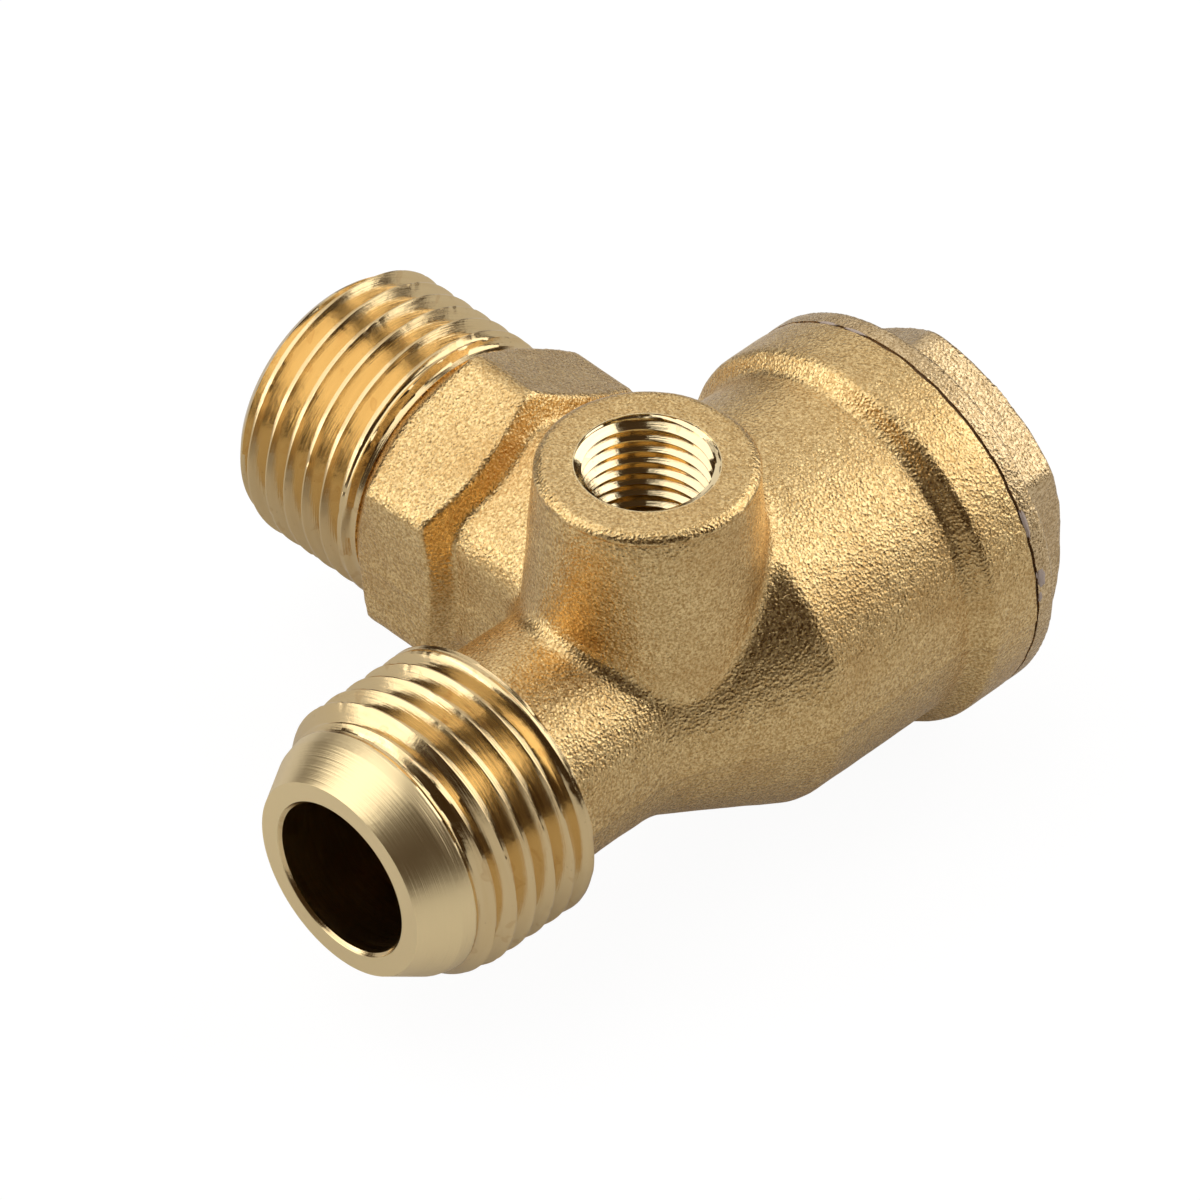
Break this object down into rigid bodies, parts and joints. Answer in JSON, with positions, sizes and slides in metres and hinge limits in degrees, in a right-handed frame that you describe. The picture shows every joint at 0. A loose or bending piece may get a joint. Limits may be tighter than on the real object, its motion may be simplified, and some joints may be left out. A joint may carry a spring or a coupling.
{
  "type": "air compressor non-return valve",
  "caption": "Brass non-return valve with a coned male inlet, a male tank branch at right angles with a hexagon, a tapped unloader boss and a screwed hexagon cap over a sprung piston.",
  "frame": {"origin": "where the axis of the inlet crosses the axis of the tank branch", "axes": "+X from the inlet towards the cap, +Y out through the tank thread, +Z out through the unloader port"},
  "size_m": [0.0597, 0.051, 0.0341],
  "materials": {
    "brass_forged": "blasted",
    "brass_cap": "blasted",
    "brass_turned": "turned",
    "gasket_fibre": "matte",
    "rubber_black": "matte",
    "spring_steel": "drawn"
  },
  "bodies": {
    "housing": {"valve_body": "brass_forged", "end_cap": "brass_cap", "cap_gasket": "gasket_fibre", "return_spring": "spring_steel"},
    "poppet": {"valve_piston": "brass_turned", "seal_disc": "rubber_black"}
  },
  "joints": [
    {"name": "piston_lift", "type": "slide", "parent": "housing", "child": "poppet", "axis": [1, 0, 0], "range_m": [0, 0.003], "stiffness_N_per_m": 150, "springref_m": -0.004, "deforming": ["return_spring"]}
  ]
}
